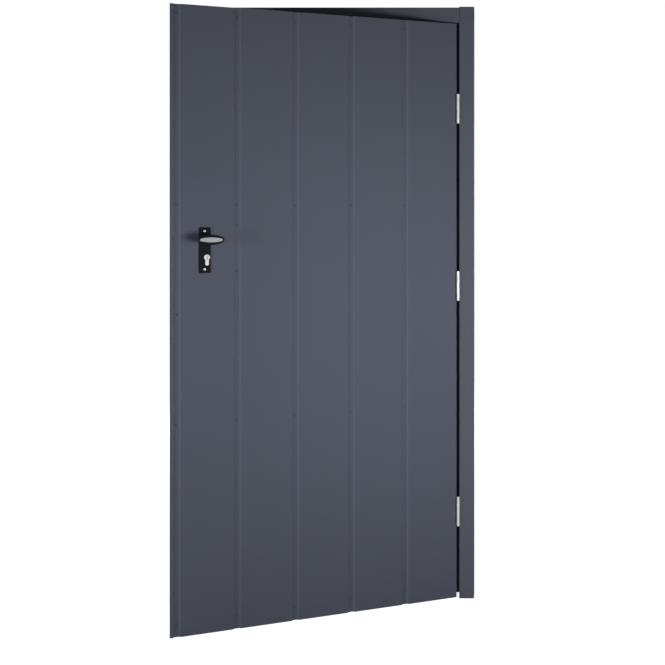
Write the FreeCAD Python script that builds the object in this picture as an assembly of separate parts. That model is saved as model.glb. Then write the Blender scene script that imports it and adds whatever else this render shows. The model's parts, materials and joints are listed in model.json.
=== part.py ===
"""Steel utility door, standing ajar in its box-section frame.

Lengths are millimetres.  X runs along the wall towards the hinge side, Y runs through the doorway away
from the outside, and Z is up.  The origin is on the outer side face of the hinge jamb, at floor level,
half way through the depth of the frame.  The leaf opens outwards, towards -Y, about a vertical axis.

The leaf is drawn closed, with u measured from its hinge edge towards the latch edge and v from its
outside face towards the inside, and is then turned to its ajar position.
"""
import FreeCAD
import Part

import math
import os

Vector = FreeCAD.Vector

# Frame of box section
JAMB_HEIGHT = 1983.0
FRAME_FACE = 50.0
FRAME_DEPTH = 50.0
FRAME_WALL = 1.5
FRAME_CORNER = 3.0
HEADER_DROP = 2.0
CAP_THICKNESS = 3.0
CAP_CLEARANCE = 0.1

# Clearances round the closed leaf
FLOOR_GAP = 5.0
HEAD_GAP = 6.0
HINGE_GAP = 7.0
LATCH_GAP = 8.0

# Leaf
LEAF_WIDTH = 898.0
LEAF_AJAR = 18.0
TUBE_DEPTH = 35.0
TUBE_WALL = 1.5
TUBE_CORNER = 2.5
STILE_FACE = 40.0
END_RAIL_FACE = 60.0
CROSS_RAIL_FACE = 40.0
LOWER_RAIL_RISE = 645.0
RAIL_ABOVE_LOCK = 29.0

# Roll-formed skin planks
SHEET = 0.9
BEND = 1.5
NOSE_BEND = 4.0
PLANK_COUNT = 5
PLANK_PITCH = 175.6
LATCH_BORDER = 29.0
CHANNEL_DEPTH = 4.1
CHANNEL_FLOOR = 15.5
BEVEL_WIDTH = 5.0
STEP_WIDTH = 2.0
TONGUE = 6.0
LIP_CLEARANCE = 0.3
EDGE_FOLD = 32.0

# Stops and seals at the back of the frame
STOP_WIDTH = 25.0
STOP_THICKNESS = 3.0
SEAL_WIDTH = 10.0
SEAL_HEIGHT = 1.5
SEAL_INSET = 11.0

# Butt hinges
HINGE_HEIGHT = 97.0
LOWER_HINGE_RISE = 289.5
UPPER_HINGE_DROP = 285.0
MIDDLE_HINGE_DROP = 592.0
KNUCKLES = 5
KNUCKLE_RADIUS = 5.5
KNUCKLE_GAP = 0.3
FLAP_THICKNESS = 2.0
FLAP_WIDTH = 28.0
FLAP_RELIEF = 0.5
PIN_RADIUS = 3.0
PIN_CLEARANCE = 0.05
PIN_HEAD_RADIUS = 5.0
PIN_HEAD_HEIGHT = 1.5

# Lock
LOCK_LINE = 107.4
SPINDLE_RISE = 1210.0
CYLINDER_DROP = 55.0
LOCK_BOX_HEIGHT = 166.0
LOCK_BOX_LENGTH = 167.0
LOCK_CENTRE_DROP = 27.0
CASE_GAP = 6.5
CASE_LENGTH = 130.0
CASE_THICKNESS = 15.0
CASE_WALL = 2.0
FOREND_HEIGHT = 200.0
FOREND_WIDTH = 20.0
FOREND_THICKNESS = 3.0
CUT_CLEARANCE = 0.3
BOLT_LENGTH = 45.0
BOLT_CLEARANCE = 0.1
LATCH_BOLT_HEIGHT = 18.0
LATCH_BOLT_RISE = 8.0
DEAD_BOLT_HEIGHT = 30.0
DEAD_BOLT_DROP = 38.0
KEEP_HEIGHT = 140.0
KEEP_WIDTH = 24.0
KEEP_THICKNESS = 1.5
KEEP_WINDOW_MARGIN = 2.0

# Profile cylinder
BARREL_RADIUS = 8.5
CYLINDER_HEIGHT = 33.0
CYLINDER_TAIL = 10.0
CYLINDER_PROUD = 3.0
KEYWAY_WIDTH = 2.2
KEYWAY_HEIGHT = 8.5
KEYWAY_DEPTH = 6.0

# Handle plates
PLATE_WIDTH = 34.5
PLATE_HEIGHT = 140.0
PLATE_THICKNESS = 3.0
PLATE_CORNER = 4.5
PLATE_EDGE = 1.0
PLATE_OFFSET = 6.9
PLATE_DROP = 33.0
COLLAR_RADIUS = 10.2
COLLAR_HEIGHT = 3.0

# Oval levers
NECK_RADIUS = 8.5
NECK_CLEARANCE = 0.2
GRIP_LENGTH = 75.0
GRIP_HEIGHT = 31.0
GRIP_THICKNESS = 15.0
GRIP_EDGE = 4.0
GRIP_SHIFT = 13.0
OVAL_TIP = 0.55
LEVER_PROJECTION = 60.0
INLAY_LENGTH = 64.0
INLAY_HEIGHT = 15.0
INLAY_DEPTH = 1.2
INLAY_CLEARANCE = 0.05
SPINDLE_SIZE = 8.0
SPINDLE_FIT = 0.05
SPINDLE_SOCKET = 28.0
SPINDLE_HOLE = 8.0
FOLLOWER_HOLE = 6.0

# Wall fixings through the jambs
FIXING_RADIUS = 5.0
FIXING_COUNT = 4
FIXING_RISE = 130.0
FIXING_DROP = 128.0

# Derived places
CLEAR_WIDTH = LEAF_WIDTH + HINGE_GAP + LATCH_GAP
FRONT_Y = -FRAME_DEPTH / 2
BACK_Y = FRAME_DEPTH / 2
HINGE_JAMB_X = -FRAME_FACE
LATCH_JAMB_X = HINGE_JAMB_X - CLEAR_WIDTH
HEADER_TOP = JAMB_HEIGHT - HEADER_DROP
HEADER_UNDER = HEADER_TOP - FRAME_FACE
LEAF_X = HINGE_JAMB_X - HINGE_GAP
LEAF_BOTTOM = FLOOR_GAP
LEAF_TOP = HEADER_UNDER - HEAD_GAP
LEAF_HEIGHT = LEAF_TOP - LEAF_BOTTOM
TUBE_FRONT = CHANNEL_DEPTH + SHEET
LEAF_THICKNESS = TUBE_FRONT + TUBE_DEPTH
AXIS_X = HINGE_JAMB_X - HINGE_GAP / 2
AXIS_Y = FRONT_Y - KNUCKLE_RADIUS
LAST_SEAM = LEAF_WIDTH - LATCH_BORDER
LOCK_U = LEAF_WIDTH - LOCK_LINE
LOCK_CENTRE_Z = SPINDLE_RISE - LOCK_CENTRE_DROP
CASE_HEIGHT = LOCK_BOX_HEIGHT - 2 * (TUBE_WALL + CASE_GAP)
STILE_INNER_U = LEAF_WIDTH - SHEET - STILE_FACE
CASE_V = TUBE_FRONT + TUBE_DEPTH / 2
UPPER_RAIL_Z = LOCK_CENTRE_Z + LOCK_BOX_HEIGHT / 2 + RAIL_ABOVE_LOCK
UPPER_HINGE_Z = LEAF_TOP - UPPER_HINGE_DROP
HINGES = {
    "lower": LEAF_BOTTOM + LOWER_HINGE_RISE,
    "middle": UPPER_HINGE_Z - MIDDLE_HINGE_DROP,
    "upper": UPPER_HINGE_Z,
}
FIXING_PITCH = (JAMB_HEIGHT - FIXING_DROP - FIXING_RISE) / (FIXING_COUNT - 1)


def leaf_point(u, v, z=0.0):
    """Point of the closed leaf, in the frame's axes."""
    return Vector(LEAF_X - u, FRONT_Y + v, z)


def leaf_box(u0, u1, v0, v1, z0, z1):
    """Upright block of the closed leaf between two corners."""
    return Part.makeBox(u1 - u0, v1 - v0, z1 - z0, leaf_point(u1, v0, z0))


def frame_box(x0, x1, y0, y1, z0, z1):
    """Upright block of the frame between two corners."""
    return Part.makeBox(x1 - x0, y1 - y0, z1 - z0, Vector(x0, y0, z0))


def cylinder_y(radius, centre, y0, y1):
    """Round bar along Y through the centre's x and z."""
    return Part.makeCylinder(radius, y1 - y0, Vector(centre.x, y0, centre.z), Vector(0, 1, 0))


def long_edges(shape, direction):
    """Straight edges of a shape that run along one direction."""
    found = []
    for edge in shape.Edges:
        if edge.Curve.TypeId != "Part::GeomLine":
            continue
        if edge.Curve.Direction.cross(direction).Length < 1e-6:
            found.append(edge)
    return found


def box_tube(block, direction, wall, corner):
    """Box section: a block with rounded long edges, bored through along one direction."""
    outer = block.makeFillet(corner, long_edges(block, direction))
    size = block.BoundBox
    low = Vector(size.XMin + wall, size.YMin + wall, size.ZMin + wall)
    span = Vector(size.XLength - 2 * wall, size.YLength - 2 * wall, size.ZLength - 2 * wall)
    low = low - direction * (wall + 1)
    span = span + direction * (2 * wall + 2)
    bore = Part.makeBox(span.x, span.y, span.z, low)
    bore_corner = max(corner - wall, 0.2)
    bore = bore.makeFillet(bore_corner, long_edges(bore, direction))
    return outer.cut(bore)


def bend_arc(before, corner, after, radius):
    """Centre, end directions and turn of the bend that rounds one corner of a path."""
    d_in = (corner - before).normalize()
    d_out = (after - corner).normalize()
    turn = math.copysign(1.0, d_in.x * d_out.y - d_in.y * d_out.x)
    half = d_in.getAngle(d_out) / 2
    start = corner - d_in * (radius * math.tan(half))
    left = Vector(-d_in.y, d_in.x, 0)
    centre = start + left * (turn * radius)
    end = corner + d_out * (radius * math.tan(half))
    middle = (corner - centre).normalize()
    return centre, (start - centre).normalize(), middle, (end - centre).normalize(), turn


def sheet_side(path, radii, offset):
    """Edges of one side of a bent sheet, offset to the left of its centre line."""
    first = (path[1] - path[0]).normalize()
    point = path[0] + Vector(-first.y, first.x, 0) * offset
    edges = []
    for before, corner, after, radius in zip(path, path[1:], path[2:], radii):
        centre, d_start, d_middle, d_end, turn = bend_arc(before, corner, after, radius)
        reach = radius - turn * offset
        start = centre + d_start * reach
        end = centre + d_end * reach
        edges.append(Part.LineSegment(point, start).toShape())
        edges.append(Part.Arc(start, centre + d_middle * reach, end).toShape())
        point = end
    last = (path[-1] - path[-2]).normalize()
    end = path[-1] + Vector(-last.y, last.x, 0) * offset
    edges.append(Part.LineSegment(point, end).toShape())
    return edges


def bent_sheet(points, radii):
    """Full-height sheet with round bends along a (u, v) centre line."""
    path = [leaf_point(u, v, LEAF_BOTTOM) for u, v in points]
    left = sheet_side(path, radii, SHEET / 2)
    right = sheet_side(path, radii, -SHEET / 2)
    start = Part.LineSegment(left[0].Vertexes[0].Point, right[0].Vertexes[0].Point).toShape()
    end = Part.LineSegment(left[-1].Vertexes[-1].Point, right[-1].Vertexes[-1].Point).toShape()
    wire = Part.Wire(Part.__sortEdges__(left + right + [start, end]))
    return Part.Face(wire).extrude(Vector(0, 0, LEAF_HEIGHT))


def seam_u(index):
    """Middle of the bevel at the latch side of a plank, from the hinge edge."""
    return LAST_SEAM - (PLANK_COUNT - 1 - index) * PLANK_PITCH


def face_start_u(index):
    """Where the flat face after a seam begins."""
    return seam_u(index) + BEVEL_WIDTH / 2 + CHANNEL_FLOOR + STEP_WIDTH


def lip(u):
    """Return lip that stands on the tongue below, up to a flat face that starts at u."""
    return [(u - STEP_WIDTH, CHANNEL_DEPTH - LIP_CLEARANCE), (u, SHEET / 2)]


def plank(index):
    """Plank with a lip or edge fold, a flat face, a bevel and a riveted channel floor with its tongue."""
    seam = seam_u(index)
    floor_v = CHANNEL_DEPTH + SHEET / 2
    if index == 0:
        points = [(SHEET / 2, EDGE_FOLD), (SHEET / 2, SHEET / 2)]
    else:
        points = lip(face_start_u(index - 1))
    points.append((seam - BEVEL_WIDTH / 2, SHEET / 2))
    points.append((seam + BEVEL_WIDTH / 2, floor_v))
    points.append((face_start_u(index) + TONGUE, floor_v))
    return bent_sheet(points, [BEND] * 3)


def latch_edge_cap():
    """Narrow cap with a round nose along the latch edge."""
    edge = LEAF_WIDTH - SHEET / 2
    points = lip(face_start_u(PLANK_COUNT - 1))
    points += [(edge, SHEET / 2), (edge, EDGE_FOLD)]
    return bent_sheet(points, [BEND, NOSE_BEND])


def stile(u0):
    """Upright box section of the leaf."""
    block = leaf_box(u0, u0 + STILE_FACE, TUBE_FRONT, LEAF_THICKNESS, LEAF_BOTTOM, LEAF_TOP)
    return box_tube(block, Vector(0, 0, 1), TUBE_WALL, TUBE_CORNER)


def rail(z0, face):
    """Level box section between the two stiles."""
    u0 = SHEET + STILE_FACE
    block = leaf_box(u0, STILE_INNER_U, TUBE_FRONT, LEAF_THICKNESS, z0, z0 + face)
    return box_tube(block, Vector(1, 0, 0), TUBE_WALL, TUBE_CORNER)


def lock_box():
    """Wide box section behind the handle, from the latch stile to the next channel."""
    z0 = LOCK_CENTRE_Z - LOCK_BOX_HEIGHT / 2
    u0 = STILE_INNER_U - LOCK_BOX_LENGTH
    block = leaf_box(u0, STILE_INNER_U, TUBE_FRONT, LEAF_THICKNESS, z0, z0 + LOCK_BOX_HEIGHT)
    return box_tube(block, Vector(1, 0, 0), TUBE_WALL, TUBE_CORNER)


def case_block(grow):
    """Envelope of the lock case, grown all round except along its depth."""
    u1 = LEAF_WIDTH - FOREND_THICKNESS
    z0 = LOCK_CENTRE_Z - CASE_HEIGHT / 2
    v0 = CASE_V - CASE_THICKNESS / 2
    return leaf_box(u1 - CASE_LENGTH, u1, v0 - grow, v0 + CASE_THICKNESS + grow,
                    z0 - grow, z0 + CASE_HEIGHT + grow)


def bolt_block(z, height, grow, u0, u1):
    """Block on the path of one bolt, grown across it."""
    half = CASE_THICKNESS / 2 - CASE_WALL - BOLT_CLEARANCE + grow
    return leaf_box(u0, u1, CASE_V - half, CASE_V + half, z - height / 2 - grow, z + height / 2 + grow)


def bolt_blocks(grow, u0, u1):
    """Latch bolt and dead bolt, or the windows for them."""
    latch = bolt_block(SPINDLE_RISE + LATCH_BOLT_RISE, LATCH_BOLT_HEIGHT, grow, u0, u1)
    dead = bolt_block(SPINDLE_RISE - DEAD_BOLT_DROP, DEAD_BOLT_HEIGHT, grow, u0, u1)
    return latch, dead


def profile_cylinder(grow, v0, v1):
    """Key-hole shaped bar: a round barrel with a narrow tail below it."""
    centre = leaf_point(LOCK_U, v0, SPINDLE_RISE - CYLINDER_DROP)
    y0 = FRONT_Y + v0
    y1 = FRONT_Y + v1
    tail_half = CYLINDER_TAIL / 2 + grow
    tail_centre = centre - Vector(0, 0, CYLINDER_HEIGHT - BARREL_RADIUS - CYLINDER_TAIL / 2)
    shape = cylinder_y(BARREL_RADIUS + grow, centre, y0, y1)
    web = frame_box(centre.x - tail_half, centre.x + tail_half, y0, y1, tail_centre.z, centre.z)
    return shape.fuse(web).fuse(cylinder_y(tail_half, tail_centre, y0, y1)).removeSplitter()


def spindle_bore(radius, v0, v1):
    """Round hole on the spindle's axis."""
    return cylinder_y(radius, leaf_point(LOCK_U, 0, SPINDLE_RISE), FRONT_Y + v0, FRONT_Y + v1)


def lock_case():
    """Sheet case, open towards the forend, with its follower and cylinder holes."""
    case = case_block(0)
    size = case.BoundBox
    hollow = Part.makeBox(size.XLength, size.YLength - 2 * CASE_WALL, size.ZLength - 2 * CASE_WALL,
                          Vector(size.XMin - CASE_WALL, size.YMin + CASE_WALL, size.ZMin + CASE_WALL))
    case = case.cut(hollow)
    case = case.cut(spindle_bore(FOLLOWER_HOLE, 0, LEAF_THICKNESS))
    return case.cut(profile_cylinder(CUT_CLEARANCE, 0, LEAF_THICKNESS))


def forend_block(grow):
    """Face plate of the lock in the latch edge, grown round its outline."""
    half_v = FOREND_WIDTH / 2 + grow
    half_z = FOREND_HEIGHT / 2 + grow
    return leaf_box(LEAF_WIDTH - FOREND_THICKNESS, LEAF_WIDTH, CASE_V - half_v, CASE_V + half_v,
                    LOCK_CENTRE_Z - half_z, LOCK_CENTRE_Z + half_z)


def lock_forend():
    """Face plate with its two bolt windows."""
    plate = forend_block(0)
    plate = plate.makeFillet(FOREND_WIDTH / 2 - 0.5, long_edges(plate, Vector(1, 0, 0)))
    for window in bolt_blocks(CUT_CLEARANCE, LEAF_WIDTH - 2 * FOREND_THICKNESS, LEAF_WIDTH + 1):
        plate = plate.cut(window)
    return plate


def lock_cylinder():
    """Profile cylinder through the leaf, with a keyway at each end."""
    v0 = -PLATE_THICKNESS - CYLINDER_PROUD
    v1 = LEAF_THICKNESS + PLATE_THICKNESS + CYLINDER_PROUD
    body = profile_cylinder(0, v0, v1)
    centre = leaf_point(LOCK_U, 0, SPINDLE_RISE - CYLINDER_DROP)
    for v in (v0, v1 - KEYWAY_DEPTH):
        y0 = FRONT_Y + v
        slot = frame_box(centre.x - KEYWAY_WIDTH / 2, centre.x + KEYWAY_WIDTH / 2, y0, y0 + KEYWAY_DEPTH,
                         centre.z - KEYWAY_HEIGHT / 2, centre.z + KEYWAY_HEIGHT / 2)
        body = body.cut(slot)
    return body


def handle_plate(v_seat, outward):
    """Rounded plate with a collar; outward is -1 on the outside of the leaf and +1 on the inside."""
    u = LOCK_U + PLATE_OFFSET
    z = SPINDLE_RISE - PLATE_DROP
    v_far = v_seat + outward * PLATE_THICKNESS
    block = leaf_box(u - PLATE_WIDTH / 2, u + PLATE_WIDTH / 2, min(v_seat, v_far), max(v_seat, v_far),
                     z - PLATE_HEIGHT / 2, z + PLATE_HEIGHT / 2)
    block = block.makeFillet(PLATE_CORNER, long_edges(block, Vector(0, 1, 0)))
    y_far = FRONT_Y + v_far
    rim = [edge for edge in block.Edges if abs(edge.BoundBox.YMin - y_far) < 1e-6
           and edge.BoundBox.YLength < 1e-6]
    block = block.makeChamfer(PLATE_EDGE, rim)
    v_top = v_far + outward * COLLAR_HEIGHT
    block = block.fuse(spindle_bore(COLLAR_RADIUS, min(v_seat, v_top), max(v_seat, v_top)))
    block = block.cut(spindle_bore(NECK_RADIUS + NECK_CLEARANCE, v_seat - 30, v_seat + 30))
    return block.cut(profile_cylinder(CUT_CLEARANCE, v_seat - 30, v_seat + 30))


def oval_grip(length, height, v0, v1, edge):
    """Bar with an oval outline of four tangent arcs, and rounded rims."""
    centre = leaf_point(LOCK_U - GRIP_SHIFT, v0, SPINDLE_RISE)
    half_x = length / 2
    half_z = height / 2
    tip = OVAL_TIP * half_z
    side = (half_z ** 2 + (half_x - tip) ** 2 - tip ** 2) / (2 * (half_z - tip))
    tip_x = half_x - tip
    side_z = half_z - side
    reach = side / math.hypot(tip_x, side_z)
    join = Vector(tip_x * reach, 0, side_z - side_z * reach)
    points = [Vector(join.x * x, 0, join.z * z) for x, z in ((-1, 1), (1, 1), (1, -1), (-1, -1))]
    crowns = [Vector(0, 0, half_z), Vector(half_x, 0, 0), Vector(0, 0, -half_z), Vector(-half_x, 0, 0)]
    edges = []
    for start, crown, end in zip(points, crowns, points[1:] + points[:1]):
        edges.append(Part.Arc(centre + start, centre + crown, centre + end).toShape())
    grip = Part.Face(Part.Wire(edges)).extrude(Vector(0, v1 - v0, 0))
    if edge:
        rims = [rim for rim in grip.Edges if rim.BoundBox.YLength < 1e-6]
        grip = grip.makeFillet(edge, rims)
    return grip


def lever(v_seat, outward):
    """Oval lever on a round neck, with a square socket for the spindle."""
    v_front = v_seat + outward * LEVER_PROJECTION
    v_back = v_front - outward * GRIP_THICKNESS
    grip = oval_grip(GRIP_LENGTH, GRIP_HEIGHT, min(v_front, v_back), max(v_front, v_back), GRIP_EDGE)
    v_root = v_seat + outward
    v_mid = (v_front + v_back) / 2
    neck = spindle_bore(NECK_RADIUS, min(v_root, v_mid), max(v_root, v_mid))
    socket = spindle_block(SPINDLE_FIT, v_seat, v_seat + outward * SPINDLE_SOCKET)
    return grip.fuse(neck).removeSplitter().cut(socket)


def spindle_block(grow, v0, v1):
    """Square bar on the spindle's axis."""
    half = SPINDLE_SIZE / 2 + grow
    return leaf_box(LOCK_U - half, LOCK_U + half, min(v0, v1), max(v0, v1),
                    SPINDLE_RISE - half, SPINDLE_RISE + half)


def lever_inlay(grow):
    """Bare oval plate let into the outside face of the lever."""
    v_face = -LEVER_PROJECTION
    return oval_grip(INLAY_LENGTH + 2 * grow, INLAY_HEIGHT + 2 * grow, v_face, v_face + INLAY_DEPTH, 0)


def hinge_flap(rise, side):
    """Flap with its rolled knuckles; side is +1 on the jamb and -1 on the leaf."""
    z0 = rise - HINGE_HEIGHT / 2
    outer_x = AXIS_X + side * HINGE_GAP / 2
    inner_x = outer_x - side * FLAP_THICKNESS
    low_x = min(outer_x, inner_x)
    high_x = max(outer_x, inner_x)
    flap_y = AXIS_Y + KNUCKLE_RADIUS + FLAP_RELIEF
    flap = frame_box(low_x, high_x, flap_y, flap_y + FLAP_WIDTH, z0, z0 + HINGE_HEIGHT)
    pitch = HINGE_HEIGHT / KNUCKLES
    first = 0 if side > 0 else 1
    for index in range(first, KNUCKLES, 2):
        low = z0 + index * pitch + KNUCKLE_GAP / 2
        height = pitch - KNUCKLE_GAP
        barrel = Part.makeCylinder(KNUCKLE_RADIUS, height, Vector(AXIS_X, AXIS_Y, low))
        root = frame_box(low_x, high_x, AXIS_Y, flap_y, low, low + height)
        flap = flap.fuse(barrel).fuse(root)
    bore_radius = PIN_RADIUS + PIN_CLEARANCE
    bore = Part.makeCylinder(bore_radius, HINGE_HEIGHT + 2, Vector(AXIS_X, AXIS_Y, z0 - 1))
    return flap.cut(bore).removeSplitter()


def hinge_pin(rise):
    """Pin turned in one profile, with a low domed head at each end."""
    z0 = rise - HINGE_HEIGHT / 2 + KNUCKLE_GAP / 2
    z1 = rise + HINGE_HEIGHT / 2 - KNUCKLE_GAP / 2
    pin = Part.makeCylinder(PIN_RADIUS, z1 - z0, Vector(AXIS_X, AXIS_Y, z0))
    for z, up in ((z1, 1), (z0, -1)):
        head = Part.makeCone(PIN_HEAD_RADIUS, PIN_RADIUS, PIN_HEAD_HEIGHT,
                             Vector(AXIS_X, AXIS_Y, z), Vector(0, 0, up))
        pin = pin.fuse(head)
    return pin.removeSplitter()


def fixing_holes(x0, x1):
    """Round bars through a jamb at each wall fixing."""
    bars = []
    for index in range(FIXING_COUNT):
        z = FIXING_RISE + index * FIXING_PITCH
        bars.append(Part.makeCylinder(FIXING_RADIUS, x1 - x0, Vector(x0, 0, z), Vector(1, 0, 0)))
    return bars


def keep_windows(x0, x1):
    """Windows for the two bolts, between two planes across the latch jamb's inner wall."""
    u0 = LEAF_X - x1
    u1 = LEAF_X - x0
    return bolt_blocks(KEEP_WINDOW_MARGIN, u0, u1)


def jamb(x0):
    """Upright box section of the frame, with its fixing holes."""
    block = frame_box(x0, x0 + FRAME_FACE, FRONT_Y, BACK_Y, 0, JAMB_HEIGHT)
    tube = box_tube(block, Vector(0, 0, 1), FRAME_WALL, FRAME_CORNER)
    for bar in fixing_holes(x0 - 1, x0 + FRAME_FACE + 1):
        tube = tube.cut(bar)
    return tube


def jamb_cap(x0):
    """Plug that closes the top of a jamb."""
    inset = FRAME_WALL + CAP_CLEARANCE
    plug = frame_box(x0 + inset, x0 + FRAME_FACE - inset, FRONT_Y + inset, BACK_Y - inset,
                     JAMB_HEIGHT - CAP_THICKNESS, JAMB_HEIGHT)
    corner = FRAME_CORNER - FRAME_WALL
    return plug.makeFillet(corner, long_edges(plug, Vector(0, 0, 1)))


def header():
    """Level box section between the two jambs."""
    block = frame_box(LATCH_JAMB_X, HINGE_JAMB_X, FRONT_Y, BACK_Y, HEADER_UNDER, HEADER_TOP)
    return box_tube(block, Vector(1, 0, 0), FRAME_WALL, FRAME_CORNER)


def stop_seal(x0, y_base, height, along):
    """Domed rubber strip drawn upright, with its flat side on a stop."""
    p0 = Vector(x0, y_base, 0)
    p1 = Vector(x0 + SEAL_WIDTH, y_base, 0)
    crown = Vector(x0 + SEAL_WIDTH / 2, y_base - SEAL_HEIGHT, 0)
    edges = [Part.Arc(p0, crown, p1).toShape(), Part.LineSegment(p1, p0).toShape()]
    strip = Part.Face(Part.Wire(edges)).extrude(Vector(0, 0, along))
    strip.translate(Vector(0, 0, height))
    return strip


def frame_pieces():
    """Everything that stays with the wall."""
    latch_x = LATCH_JAMB_X - FRAME_FACE
    stop_y = BACK_Y - STOP_THICKNESS
    pieces = {
        "hinge_jamb": jamb(HINGE_JAMB_X),
        "latch_jamb": jamb(latch_x),
        "header": header(),
        "hinge_jamb_cap": jamb_cap(HINGE_JAMB_X),
        "latch_jamb_cap": jamb_cap(latch_x),
    }
    for window in keep_windows(LATCH_JAMB_X - 2 * FRAME_WALL, LATCH_JAMB_X + 1):
        pieces["latch_jamb"] = pieces["latch_jamb"].cut(window)

    pieces["hinge_stop"] = frame_box(HINGE_JAMB_X - STOP_WIDTH, HINGE_JAMB_X, stop_y, BACK_Y, 0, HEADER_UNDER)
    pieces["latch_stop"] = frame_box(LATCH_JAMB_X, LATCH_JAMB_X + STOP_WIDTH, stop_y, BACK_Y, 0, HEADER_UNDER)
    pieces["header_stop"] = frame_box(LATCH_JAMB_X + STOP_WIDTH, HINGE_JAMB_X - STOP_WIDTH, stop_y, BACK_Y,
                                      HEADER_UNDER - STOP_WIDTH, HEADER_UNDER)

    seal_rise = HEADER_UNDER - SEAL_INSET - SEAL_WIDTH
    hinge_seal_x = HINGE_JAMB_X - SEAL_INSET - SEAL_WIDTH
    latch_seal_x = LATCH_JAMB_X + SEAL_INSET
    pieces["hinge_seal"] = stop_seal(hinge_seal_x, stop_y, 0, seal_rise)
    pieces["latch_seal"] = stop_seal(latch_seal_x, stop_y, 0, seal_rise)
    length = hinge_seal_x + SEAL_WIDTH - latch_seal_x
    top_seal = stop_seal(-SEAL_WIDTH, 0, 0, length)
    top_seal.rotate(Vector(0, 0, 0), Vector(0, 1, 0), 90)
    top_seal.translate(Vector(latch_seal_x, stop_y, seal_rise))
    pieces["header_seal"] = top_seal

    keep = frame_box(LATCH_JAMB_X, LATCH_JAMB_X + KEEP_THICKNESS,
                     FRONT_Y + CASE_V - KEEP_WIDTH / 2, FRONT_Y + CASE_V + KEEP_WIDTH / 2,
                     LOCK_CENTRE_Z - KEEP_HEIGHT / 2, LOCK_CENTRE_Z + KEEP_HEIGHT / 2)
    for window in keep_windows(LATCH_JAMB_X - 1, LATCH_JAMB_X + KEEP_THICKNESS + 1):
        keep = keep.cut(window)
    pieces["keep_plate"] = keep

    for name, rise in HINGES.items():
        pieces[name + "_hinge_jamb_flap"] = hinge_flap(rise, 1)
        pieces[name + "_hinge_pin"] = hinge_pin(rise)
    return pieces


def leaf_pieces():
    """Everything that swings with the leaf, drawn closed."""
    pieces = {}
    for index in range(PLANK_COUNT):
        pieces["plank_%d" % (index + 1)] = plank(index)
    pieces["latch_edge_cap"] = latch_edge_cap()
    pieces["hinge_stile"] = stile(SHEET)
    pieces["latch_stile"] = stile(STILE_INNER_U)
    pieces["bottom_rail"] = rail(LEAF_BOTTOM, END_RAIL_FACE)
    pieces["top_rail"] = rail(LEAF_TOP - END_RAIL_FACE, END_RAIL_FACE)
    pieces["cross_rail_lower"] = rail(LEAF_BOTTOM + LOWER_RAIL_RISE - CROSS_RAIL_FACE / 2, CROSS_RAIL_FACE)
    pieces["cross_rail_upper"] = rail(UPPER_RAIL_Z, CROSS_RAIL_FACE)
    pieces["lock_box"] = lock_box()
    pieces["lock_case"] = lock_case()
    pieces["lock_forend"] = lock_forend()
    pieces["lock_cylinder"] = lock_cylinder()
    latch, dead = bolt_blocks(0, LEAF_WIDTH - BOLT_LENGTH, LEAF_WIDTH)
    pieces["lock_bolts"] = Part.makeCompound([latch, dead])
    pieces["outer_plate"] = handle_plate(0, -1)
    pieces["inner_plate"] = handle_plate(LEAF_THICKNESS, 1)
    for name, rise in HINGES.items():
        pieces[name + "_hinge_leaf_flap"] = hinge_flap(rise, -1)

    for name in ("plank_%d" % PLANK_COUNT, "lock_box"):
        pieces[name] = pieces[name].cut(spindle_bore(SPINDLE_HOLE, -1, LEAF_THICKNESS + 1))
        pieces[name] = pieces[name].cut(profile_cylinder(CUT_CLEARANCE, -1, LEAF_THICKNESS + 1))
    for name in ("latch_stile", "latch_edge_cap"):
        pieces[name] = pieces[name].cut(forend_block(CUT_CLEARANCE))
        pieces[name] = pieces[name].cut(case_block(CUT_CLEARANCE))
    return pieces


def handle_pieces():
    """Both levers on their common spindle."""
    reach = SPINDLE_SOCKET - SPINDLE_FIT
    return {
        "outer_lever": lever(0, -1).cut(lever_inlay(INLAY_CLEARANCE)),
        "inner_lever": lever(LEAF_THICKNESS, 1),
        "lever_spindle": spindle_block(0, -reach, LEAF_THICKNESS + reach),
        "lever_inlay": lever_inlay(0),
    }


def ajar(shape):
    """The closed leaf's shape, turned open about the hinge axis."""
    turned = shape.copy()
    turned.rotate(Vector(AXIS_X, AXIS_Y, 0), Vector(0, 0, 1), LEAF_AJAR)
    return turned


def main():
    os.makedirs("parts", exist_ok=True)
    pieces = frame_pieces()
    for group in (leaf_pieces(), handle_pieces()):
        for name, shape in group.items():
            pieces[name] = ajar(shape)
    for name, shape in pieces.items():
        shape.exportStep("parts/%s.step" % name)


main()
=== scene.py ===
"""Finishes, small fixings and studio for a steel utility door that stands ajar in its frame.

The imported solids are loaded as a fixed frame, and each operator adds one group of pieces or finishes.
X runs along the wall towards the hinge side, Y through the doorway away from the outside, and Z up.
A place on the leaf is given on the closed leaf, in millimetres: u from its hinge edge towards the latch
edge, v from its outside face towards the inside, and z above the floor.
"""

import json
import math

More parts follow.
